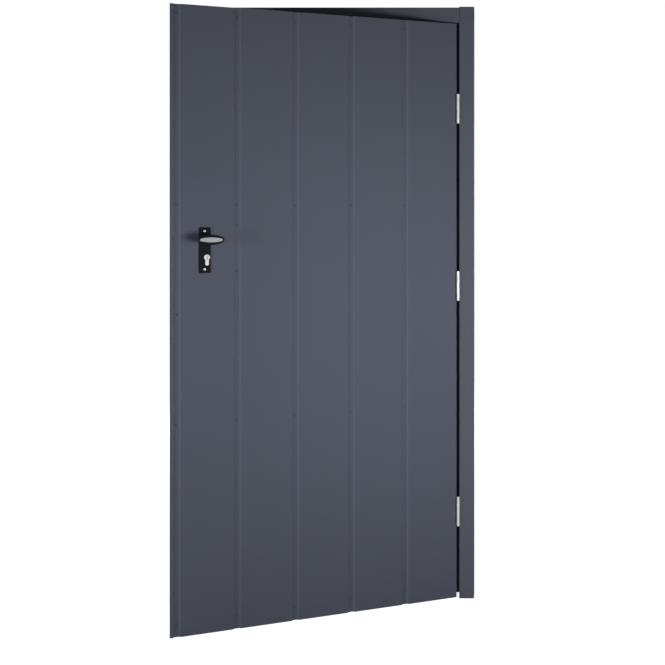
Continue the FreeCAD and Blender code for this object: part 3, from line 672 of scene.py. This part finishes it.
class DoorFixings(PropertyGroup):
    """Sizes of rivets, screws and weld beads."""
    rivet_radius: FloatProperty(
        name="Rivet radius", description="Head radius of the channel rivets",
        unit="LENGTH", min=0.001, max=0.006, default=0.0026)
    plate_screw_radius: FloatProperty(
        name="Plate screw radius", description="Head radius of the handle plate screws",
        unit="LENGTH", min=0.001, max=0.006, default=0.0033)
    plate_screw_spacing: FloatProperty(
        name="Plate screw spacing", description="Distance between a plate's two screws",
        unit="LENGTH", min=0.06, max=0.132, default=0.117)
    hinge_screw_radius: FloatProperty(
        name="Hinge screw radius", description="Head radius of the hinge screws",
        unit="LENGTH", min=0.001, max=0.006, default=0.004)
    lock_screw_radius: FloatProperty(
        name="Lock screw radius", description="Head radius of the forend and keep screws",
        unit="LENGTH", min=0.001, max=0.006, default=0.003)
    weld_leg: FloatProperty(
        name="Weld leg", description="Leg of the fillet welds",
        unit="LENGTH", min=0.001, max=0.006, default=0.003)
    turn_seed: IntProperty(
        name="Screw turn seed", description="Seed for how far each screw head is turned",
        min=0, max=9999, default=18)


class DoorHandle(PropertyGroup):
    """Size of the oval levers."""
    grip_length: FloatProperty(
        name="Grip length", description="Length of the oval grips",
        unit="LENGTH", min=0.07, max=0.075, default=0.075)
    grip_height: FloatProperty(
        name="Grip height", description="Height of the oval grips",
        unit="LENGTH", min=0.024, max=0.031, default=0.031)


class DoorStudio(PropertyGroup):
    """Lamps, surroundings and camera."""
    right_power: FloatProperty(
        name="Right lamp", description="Power of the main lamp, at the right", unit="POWER", min=0.0,
        default=26.0)
    latch_power: FloatProperty(
        name="Latch side lamp", description="Power of the narrower lamp in front, aimed at the latch side",
        unit="POWER", min=0.0, default=3.6)
    left_power: FloatProperty(
        name="Left lamp", description="Power of the weak lamp at the left", unit="POWER", min=0.0,
        default=15.0)
    back_power: FloatProperty(
        name="Back lamps", description="Power of each lamp behind the door", unit="POWER", min=0.0,
        default=54.0)
    ambient: FloatProperty(
        name="Ambient", description="Plain light from all round", min=0.0, max=2.0, default=0.03)
    focal_length: FloatProperty(
        name="Focal length", description="Focal length of the camera", unit="CAMERA", min=10.0,
        max=300.0, default=45.56)


# Operators

class DOOR_OT_groups(Operator):
    """Builds the effects that finishes share: coat, edge mask, painted bevel highlights, grain, handling marks"""
    bl_idname = "door.groups"
    bl_label = "Build shared effects"

    def execute(self, context):
        for make in (powder_coat_group, edge_mask_group, bevel_highlight_group, brushed_grain_group,
                     handling_group):
            make()
        return {"FINISHED"}


class DOOR_OT_finishes(Operator):
    """Mixes each finish as one material"""
    bl_idname = "door.finishes"
    bl_label = "Mix finishes"

    def execute(self, context):
        finish = context.scene.door_finishes
        shine = finish.coat_specular
        # Direction that the plank bevels face; the surfaces facing it get the painted highlight
        bevel = unit(OUT * BEVEL_WIDTH - TOWARDS_HINGE * CHANNEL_V)
        coat_material("leaf powder coat", finish.leaf_colour, finish, LEAF_PEEL, shine)
        coat_material("plank powder coat", finish.leaf_colour, finish, LEAF_PEEL, shine, bevel)
        coat_material("frame powder coat", finish.frame_colour, finish, FRAME_PEEL, shine)
        coat_material("rivet coat", finish.rivet_and_shade_colour, finish, RIVET_PEEL, 0.2)
        metal_material("hinge zinc", finish.zinc_colour, (700.0, 700.0, 60.0), 0.3, 0.14)
        metal_material("lock nickel", finish.nickel_colour, (60.0, 60.0, 1100.0), 0.2, 0.1)
        metal_material("inlay silver", finish.inlay_colour, (60.0, 60.0, 1500.0), 0.3, 0.12)
        black_material("handle black", finish.black_colour, finish)
        rubber_material("seal rubber", finish.rubber_colour)
        shade_steel_material("oiled steel", finish.rivet_and_shade_colour)
        return {"FINISHED"}


class DOOR_OT_solids(Operator):
    """Coats the frame and the leaf, plates the hinges and the lock, and lacquers the handle plates"""
    bl_idname = "door.solids"
    bl_label = "Finish the solids"

    def execute(self, context):
        finish_solids("leaf_paint", "leaf powder coat")
        finish_solids("leaf_paint", "plank powder coat", "plank_")
        finish_solids("frame_paint", "frame powder coat")
        finish_solids("hinge_steel", "hinge zinc")
        finish_solids("lock_steel", "lock nickel")
        finish_solids("lever_black", "handle black")
        return {"FINISHED"}


class DOOR_OT_rivets(Operator):
    """Puts blind rivets in the channels, over every rail, the lock box and the latch stile"""
    bl_idname = "door.rivets"
    bl_label = "Channel rivets"

    def execute(self, context):
        rails, seams = np.meshgrid(RAIL_RIVETS, SEAMS)
        spots = np.stack([seams.ravel(), rails.ravel()], -1)
        extra = [(SEAMS[3], rise) for rise in LOCK_BOX_RIVETS] + [(SEAMS[4], STRIP_RIVET)]
        spots = np.concatenate([spots, extra])
        places = leaf_place(spots[:, 0] + RIVET_SETBACK, CHANNEL_V, spots[:, 1])
        outline, height = rivet_head(context.scene.door_fixings.rivet_radius / MM, 0.9)
        rings = carried(outline, height, places, OUT)
        add_piece("channel_rivets", rings, "leaf", "rivet coat")
        return {"FINISHED"}


class DOOR_OT_plate_screws(Operator):
    """Puts two raised screws in each handle plate"""
    bl_idname = "door.plate_screws"
    bl_label = "Handle plate screws"

    def execute(self, context):
        fixings = context.scene.door_fixings
        half = fixings.plate_screw_spacing / MM / 2
        rises = np.array([PLATE_Z + half, PLATE_Z - half])
        outside = leaf_place(PLATE_U, SEAT_OUTSIDE - PLATE_FACE, rises)
        inside = leaf_place(PLATE_U, SEAT_INSIDE + PLATE_FACE, rises)
        draw = np.random.default_rng(fixings.turn_seed)
        size = (fixings.plate_screw_radius / MM, 0.9, 1.9)
        rings = [screw_rings(size, outside, OUT, draw), screw_rings(size, inside, -OUT, draw)]
        add_piece("plate_screws", np.concatenate(rings), "leaf", "lock nickel")
        return {"FINISHED"}


class DOOR_OT_hinge_screws(Operator):
    """Puts four countersunk screws in each hinge flap, staggered in two rows"""
    bl_idname = "door.hinge_screws"
    bl_label = "Hinge screws"

    def execute(self, context):
        fixings = context.scene.door_fixings
        offset, depth = np.transpose(FLAP_SCREWS)
        rise = np.add.outer(HINGE_RISES, offset).ravel()
        depth = np.tile(depth, len(HINGE_RISES))
        size = (fixings.hinge_screw_radius / MM, 0.35, 2.2)
        draw = np.random.default_rng(fixings.turn_seed + 1)
        on_jamb = np.stack([np.full(len(rise), -FLAP_FACE), FLAP_Y + depth, rise], -1)
        rings = screw_rings(size, on_jamb, (-1.0, 0.0, 0.0), draw)
        add_piece("jamb_flap_screws", rings, "frame", "hinge zinc")
        on_leaf = leaf_place(FLAP_U, FLAP_V + depth, rise)
        rings = screw_rings(size, on_leaf, TOWARDS_HINGE, draw)
        add_piece("leaf_flap_screws", rings, "leaf", "hinge zinc")
        return {"FINISHED"}


class DOOR_OT_lock_screws(Operator):
    """Puts two countersunk screws in the lock's forend and two in the keep"""
    bl_idname = "door.lock_screws"
    bl_label = "Forend and keep screws"

    def execute(self, context):
        fixings = context.scene.door_fixings
        size = (fixings.lock_screw_radius / MM, 0.25, 1.7)
        draw = np.random.default_rng(fixings.turn_seed + 2)
        vertices = frame["nodes"]["lock_forend"].data.vertices
        corners = np.empty(3 * len(vertices))
        vertices.foreach_get("co", corners)
        reach = corners.reshape(-1, 3) / MM @ -TOWARDS_HINGE
        on_edge = leaf_place(0.0, FOREND_V, FOREND_SCREWS_Z)
        on_edge = on_edge - TOWARDS_HINGE * (reach.max() - on_edge @ -TOWARDS_HINGE)[:, None]
        rings = screw_rings(size, on_edge, -TOWARDS_HINGE, draw)
        add_piece("forend_screws", rings, "leaf", "lock nickel")
        on_keep = [(KEEP_X, KEEP_Y, rise) for rise in KEEP_SCREWS_Z]
        rings = screw_rings(size, on_keep, (1.0, 0.0, 0.0), draw)
        add_piece("keep_screws", rings, "frame", "lock nickel")
        return {"FINISHED"}


class DOOR_OT_welds(Operator):
    """Lays weld beads in the corners between rails and stiles, at the lock box and under the header"""
    bl_idname = "door.welds"
    bl_label = "Weld beads"

    def execute(self, context):
        leg = context.scene.door_fixings.weld_leg / MM
        corners = [(STILE_SIDES[0], 1, z, way) for z, way in RAIL_FACES]
        corners += [(STILE_SIDES[1], -1, z, way) for z, way in RAIL_FACES + LOCK_BOX_FACES]
        corners = np.array(corners, float)
        starts, ends = (leaf_place(corners[:, 0], v, corners[:, 2]) for v in LEAF_WELD_V)
        away = -TOWARDS_HINGE * corners[:, 1:2]
        rings = weld_beads(starts, ends, away, UP * corners[:, 3:4], leg)
        add_piece("leaf_welds", rings, "leaf", "leaf powder coat")
        starts, ends = (np.array([(x, y, HEADER_UNDER) for x in JAMB_SIDES]) for y in FRAME_WELD_Y)
        inwards = np.array([[-1.0, 0.0, 0.0], [1.0, 0.0, 0.0]])
        rings = weld_beads(starts, ends, inwards, np.stack([-UP, -UP]), leg)
        add_piece("frame_welds", rings, "frame", "frame powder coat")
        return {"FINISHED"}


class DOOR_OT_levers(Operator):
    """Shapes the two oval levers and the bare silver plate in the outside one"""
    bl_idname = "door.levers"
    bl_label = "Oval levers"

    def execute(self, context):
        size = context.scene.door_handle
        half = (size.grip_length / MM / 2, size.grip_height / MM / 2)
        for node, seat, outward in (("outer_lever", SEAT_OUTSIDE, -1), ("inner_lever", SEAT_INSIDE, 1)):
            rings = grip_rings(seat, outward, *half, node == "outer_lever")
            grip = add_piece(f"{node}_grip", rings, "handle", "handle black", 50.0)
            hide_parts(node)
        inlay = add_piece("lever_inlay_plate", inlay_rings(), "handle", "inlay silver",
                          20.0)
        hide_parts("lever_inlay")
        return {"FINISHED"}


class DOOR_OT_plugs(Operator):
    """Puts the turning plug on both faces of the cylinder, with a dark ring and a dark keyway lining that paint
    the shade of its gap and keyway
    """
    bl_idname = "door.plugs"
    bl_label = "Cylinder plugs"

    def execute(self, context):
        around = 48
        outside = leaf_place(SPINDLE_U, SEAT_OUTSIDE - CYLINDER_FACE, CYLINDER_Z)
        inside = leaf_place(SPINDLE_U, SEAT_INSIDE + CYLINDER_FACE, CYLINDER_Z)
        places = np.stack([outside, inside])
        outward = np.stack([OUT, -OUT])
        rim = round_outline([6.5, 6.5, 6.2, 5.8], around)
        slots = [slot_outline(1.0 * k, 4.0 * k, around) for k in (1.15, 1.0, 0.97)]
        outline = np.concatenate([rim, np.stack(slots)])
        plug = carried(outline, [-0.3, 0.2, 0.4, 0.4, 0.4, 0.2, -5.8], places, outward)
        add_piece("cylinder_plugs", plug, "leaf", "lock nickel")
        # Painted shade: a dark ring that stands for the shadowed gap round the plug
        gap_shade = carried(round_outline([7.0, 7.0, 6.95], around), [-0.2, 0.04, 0.06], places, outward)
        add_piece("plug_gaps", gap_shade, "leaf", "oiled steel")
        # Painted shade: a dark lining just under the face fills the keyway
        keyway_shade_outline = np.stack([slot_outline(0.98, 3.95, around)] * 3 + [slot_outline(0.9, 3.85, around)])
        keyway_shade = carried(keyway_shade_outline, [-5.7, -3.0, -0.5, -0.4], places, outward)
        add_piece("keyway_wards", keyway_shade, "leaf", "oiled steel")
        return {"FINISHED"}


class DOOR_OT_seals(Operator):
    """Runs a ribbed rubber strip along each stop"""
    bl_idname = "door.seals"
    bl_label = "Ribbed seals"

    def execute(self, context):
        section = ribbed_section()
        for node, along, across in (("hinge_seal", 2, 0), ("latch_seal", 2, 0), ("header_seal", 0, 2)):
            low, high = (np.array(corner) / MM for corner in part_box(node))
            rings = np.zeros((1, 2, len(section), 3))
            rings[..., across] = (low[across] + high[across]) / 2 + section[:, 0]
            rings[..., 1] = high[1] - section[:, 1]
            rings[0, :, :, along] = np.array([low[along], high[along]])[:, None]
            strip = add_piece(f"{node}_strip", rings, "frame", "seal rubber")
            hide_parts(node)
        return {"FINISHED"}


def aim(item, place, target):
    """Stands a lamp or camera at a place and turns it towards a target."""
    item.location = place
    item.rotation_euler = (Vector(target) - Vector(place)).to_track_quat("-Z", "Y").to_euler()


def add_lamp(name, place, target, power, width, height, spread):
    """Soft rectangular lamp that the camera doesn't see.  Its light fans out by the spread."""
    data = bpy.data.lights.new(name, "AREA")
    data.shape = "RECTANGLE"
    data.size = width
    data.size_y = height
    data.energy = power
    data.spread = math.radians(spread)
    lamp = bpy.data.objects.new(name, data)
    bpy.context.scene.collection.objects.link(lamp)
    lamp.visible_camera = False
    aim(lamp, place, target)


def seen_share(tree):
    """One for rays that show the surroundings: from the camera, by reflection or through glass."""
    path = add_node(tree, "ShaderNodeLightPath")
    share = math_node(tree, "MAXIMUM", path.outputs["Is Camera Ray"], path.outputs["Is Glossy Ray"])
    return math_node(tree, "MAXIMUM", share, path.outputs["Is Transmission Ray"])


def set_world(ambient):
    """White surroundings where they are seen, and a low plain light everywhere else."""
    world = bpy.data.worlds.new("studio")
    world.use_nodes = True
    tree = world.node_tree
    tree.nodes.clear()
    plain = add_node(tree, "ShaderNodeBackground", {"Color": (1, 1, 1, 1), "Strength": ambient})
    white = add_node(tree, "ShaderNodeBackground", {"Color": (1, 1, 1, 1), "Strength": 1.0})
    mixed = add_node(tree, "ShaderNodeMixShader",
                     {0: seen_share(tree), 1: plain.outputs[0], 2: white.outputs[0]})
    add_node(tree, "ShaderNodeOutputWorld", {"Surface": mixed.outputs[0]})
    bpy.context.scene.world = world


def floor_material():
    """Pale floor.  Where it is seen it glows almost white, fully so away from the door, and keeps a faint
    shadow near it."""
    material = bpy.data.materials.new("pale floor")
    material.use_nodes = True
    tree = material.node_tree
    tree.nodes.clear()
    place = add_node(tree, "ShaderNodeTexCoord").outputs["Object"]
    centred = add_node(tree, "ShaderNodeMapping", {"Vector": place, "Location": (0.5, 0.1, 0.0)})
    distance = add_node(tree, "ShaderNodeVectorMath", {0: centred.outputs["Vector"]}, operation="LENGTH")
    glow = remap(tree, distance.outputs["Value"], 0.9, 2.4, 0.84, 1.0)
    grain = remap(tree, noise(tree, place, 3.0, 3.0), 0.3, 0.7, 0.97, 1.0)
    tone = mix_colour(tree, grain, (0.5, 0.5, 0.5, 1), (0.62, 0.62, 0.62, 1))
    pale = add_node(tree, "ShaderNodeBsdfDiffuse", {"Color": tone, "Roughness": 0.6})
    bright = add_node(tree, "ShaderNodeEmission", {"Color": (1, 1, 1, 1), "Strength": glow})
    both = add_node(tree, "ShaderNodeAddShader", {0: pale.outputs[0], 1: bright.outputs[0]})
    mixed = add_node(tree, "ShaderNodeMixShader",
                     {0: seen_share(tree), 1: pale.outputs[0], 2: both.outputs[0]})
    add_node(tree, "ShaderNodeOutputMaterial", {"Surface": mixed.outputs[0]})
    return material


def add_floor(radius):
    """Round floor: rings of points whose distance grows evenly from a small inner ring to the rim, closed
    by one face inside the inner ring."""
    around, count = 96, 24
    reach = np.linspace(0.05, radius, count)
    angle = np.linspace(0, 2 * math.pi, around, endpoint=False)
    x = np.multiply.outer(reach, np.cos(angle)) - 0.5
    y = np.multiply.outer(reach, np.sin(angle))
    points = np.stack([x, y, np.full_like(x, -0.0005)], -1).reshape(-1, 3)
    quads, _ = closed_faces(count, around)
    mesh = bpy.data.meshes.new("studio_floor")
    mesh.from_pydata(points.tolist(), [], quads[:, ::-1].tolist() + [list(range(around))])
    mesh.materials.append(floor_material())
    floor = bpy.data.objects.new("studio_floor", mesh)
    bpy.context.scene.collection.objects.link(floor)


class DOOR_OT_studio(Operator):
    """Adds the floor, surroundings, lamps and camera"""
    bl_idname = "door.studio"
    bl_label = "Studio"

    def execute(self, context):
        scene = context.scene
        studio = scene.door_studio
        scene.view_settings.view_transform = "Standard"
        set_world(studio.ambient)
        add_floor(FLOOR_RADIUS)
        for name, place, target, power, width, height, spread in LAMPS:
            add_lamp(name, place, target, getattr(studio, power), width, height, spread)
        data = bpy.data.cameras.new("camera")
        data.sensor_width = 36.0
        data.lens = studio.focal_length
        data.shift_x = (0.5 * IMAGE_SIDE - LEVEL_PIXEL[0]) / IMAGE_SIDE
        data.shift_y = (LEVEL_PIXEL[1] - 0.5 * IMAGE_SIDE) / IMAGE_SIDE
        camera = bpy.data.objects.new("camera", data)
        scene.collection.objects.link(camera)
        place = Vector(CAMERA_PLACE)
        aim(camera, place, place + Vector((0.0, 1.0, 0.0)))
        scene.camera = camera
        return {"FINISHED"}


OPERATORS = (
    DOOR_OT_groups, DOOR_OT_finishes, DOOR_OT_solids, DOOR_OT_rivets, DOOR_OT_plate_screws,
    DOOR_OT_hinge_screws, DOOR_OT_lock_screws, DOOR_OT_welds, DOOR_OT_levers, DOOR_OT_plugs,
    DOOR_OT_seals, DOOR_OT_studio)
SETTINGS = {
    "door_finishes": DoorFinishes,
    "door_fixings": DoorFixings,
    "door_handle": DoorHandle,
    "door_studio": DoorStudio,
}


class DOOR_PT_panel(Panel):
    """Lists the door's settings and operators"""
    bl_idname = "DOOR_PT_panel"
    bl_label = "Steel utility door"
    bl_space_type = "VIEW_3D"
    bl_region_type = "UI"
    bl_category = "Door"

    def draw(self, context):
        for name, group in SETTINGS.items():
            box = self.layout.box()
            for key in group.__annotations__:
                box.prop(getattr(context.scene, name), key)
        for operator in OPERATORS:
            self.layout.operator(operator.bl_idname)


def register():
    for group in SETTINGS.values():
        bpy.utils.register_class(group)
    for name, group in SETTINGS.items():
        setattr(bpy.types.Scene, name, PointerProperty(type=group))
    for operator in OPERATORS:
        bpy.utils.register_class(operator)
    bpy.utils.register_class(DOOR_PT_panel)


def unregister():
    bpy.utils.unregister_class(DOOR_PT_panel)
    for operator in reversed(OPERATORS):
        bpy.utils.unregister_class(operator)
    for name, group in SETTINGS.items():
        delattr(bpy.types.Scene, name)
        bpy.utils.unregister_class(group)


def main():
    """Builds everything in order."""
    register()
    bpy.ops.door.groups()
    bpy.ops.door.finishes()
    bpy.ops.door.solids()
    bpy.ops.door.rivets()
    bpy.ops.door.plate_screws()
    bpy.ops.door.hinge_screws()
    bpy.ops.door.lock_screws()
    bpy.ops.door.welds()
    bpy.ops.door.levers()
    bpy.ops.door.plugs()
    bpy.ops.door.seals()
    bpy.ops.door.studio()


if __name__ == "__main__":
    main()
